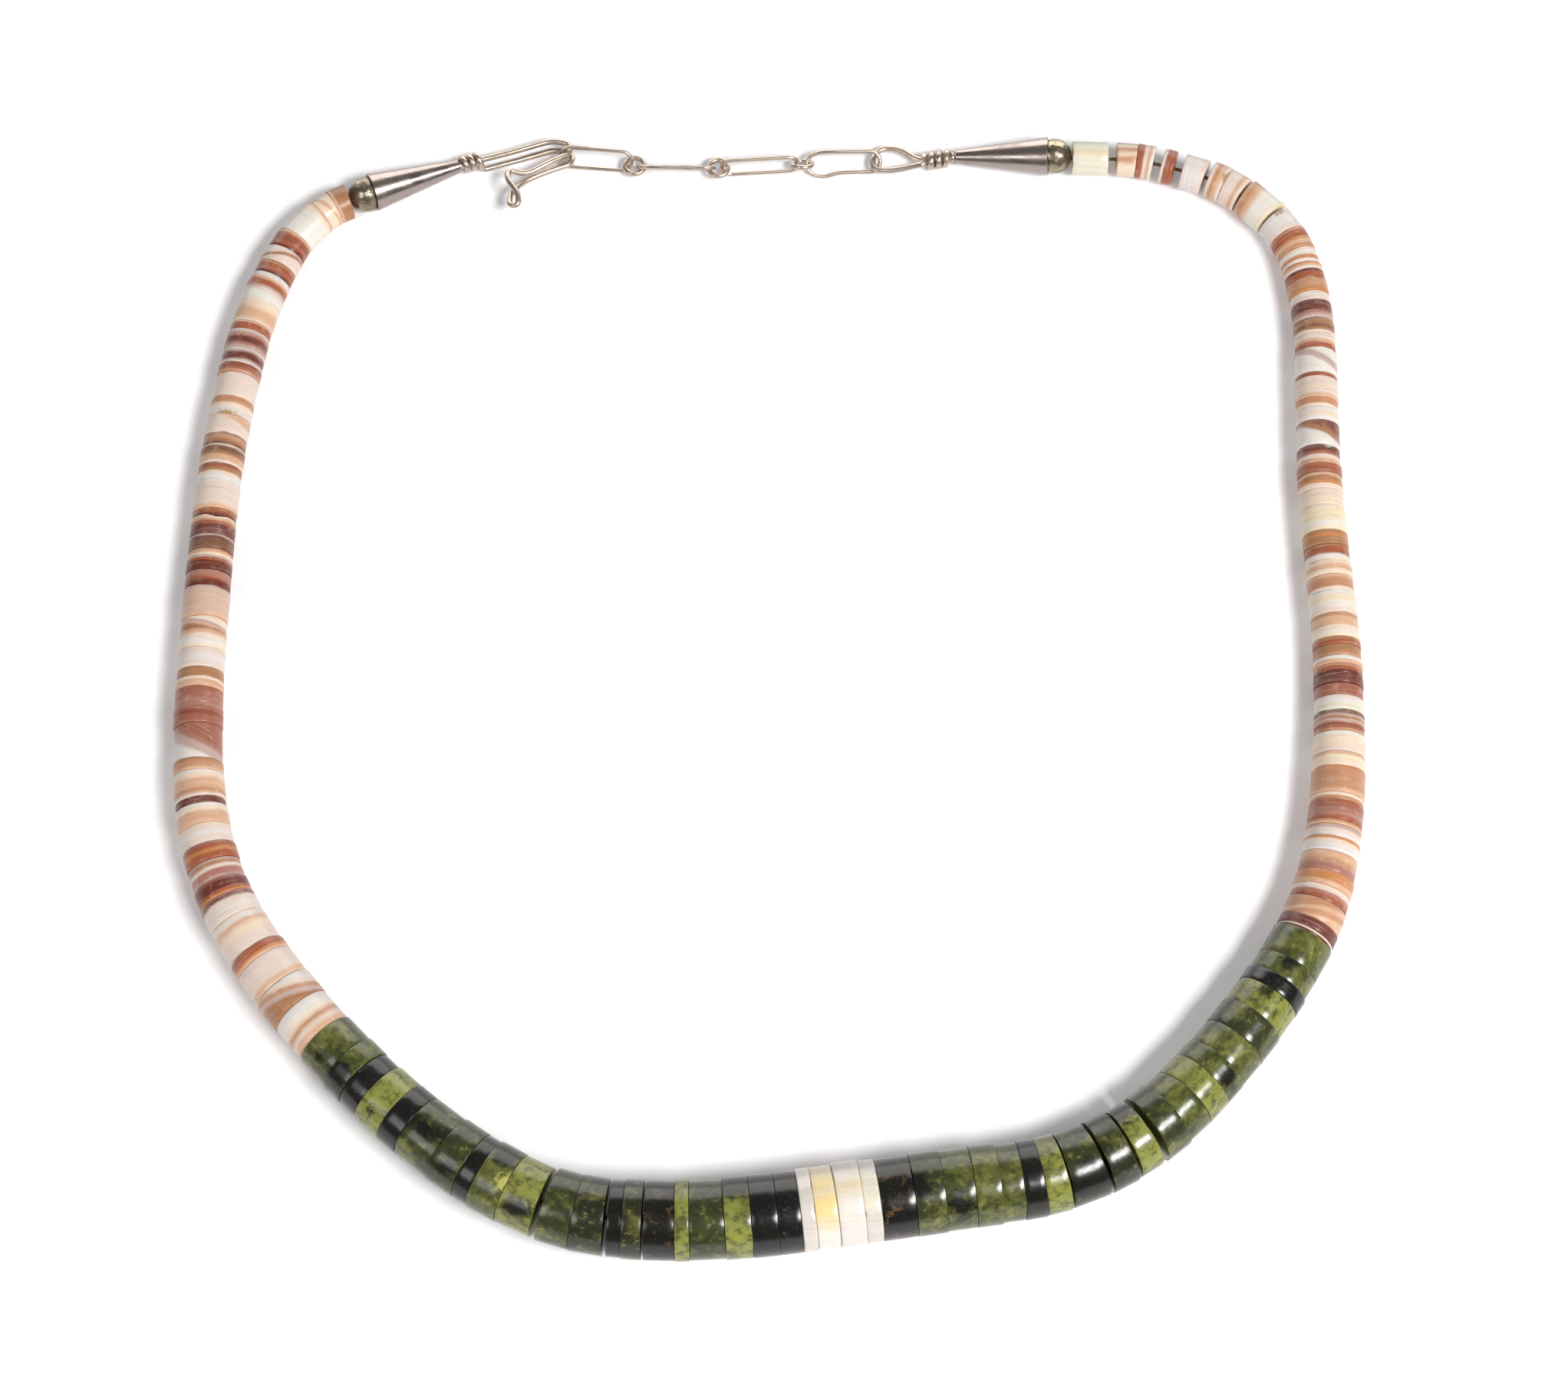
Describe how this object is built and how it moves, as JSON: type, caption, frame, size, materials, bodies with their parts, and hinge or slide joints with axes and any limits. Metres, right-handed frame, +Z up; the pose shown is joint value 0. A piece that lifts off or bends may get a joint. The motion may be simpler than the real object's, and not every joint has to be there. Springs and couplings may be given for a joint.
{
  "type": "heishi bead necklace",
  "caption": "Graduated necklace of flat drilled shell and green stone discs on a thread, with silver cones, a link chain and a wire hook, laid flat in a closed loop.",
  "frame": {"origin": "on the table, under the middle of the whole laid necklace", "axes": "+X across the loop from the hook's side to the eye's side, +Y from the pendant end towards the clasp, +Z up from the table"},
  "size_m": [0.1886, 0.1956, 0.0128],
  "materials": {
    "shell": "satin ground seashell, banded cream, tan, mauve and brown",
    "green_stone": "polished green stone with black matrix",
    "nacre": "polished pale nacre with soft bands",
    "silver": "silver with warm grey tarnish",
    "thread": "waxed beading cord"
  },
  "bodies": {
    "root": {"left_shell_beads": "shell", "right_shell_beads": "shell", "left_stone_beads": "green_stone", "right_stone_beads": "green_stone", "pearl_disc_1": "nacre", "pearl_disc_2": "nacre", "pearl_disc_3": "nacre", "pearl_disc_4": "nacre", "thread": "thread", "left_ball": "silver", "right_ball": "silver", "left_cone": "silver", "right_cone": "silver", "clasp_hook": "silver", "eye_loop": "silver", "chain_link_1": "silver", "chain_link_2": "silver", "chain_link_3": "silver", "chain_link_4": "silver", "chain_ring_1": "silver", "chain_ring_2": "silver", "chain_ring_3": "silver"}
  },
  "joints": []
}
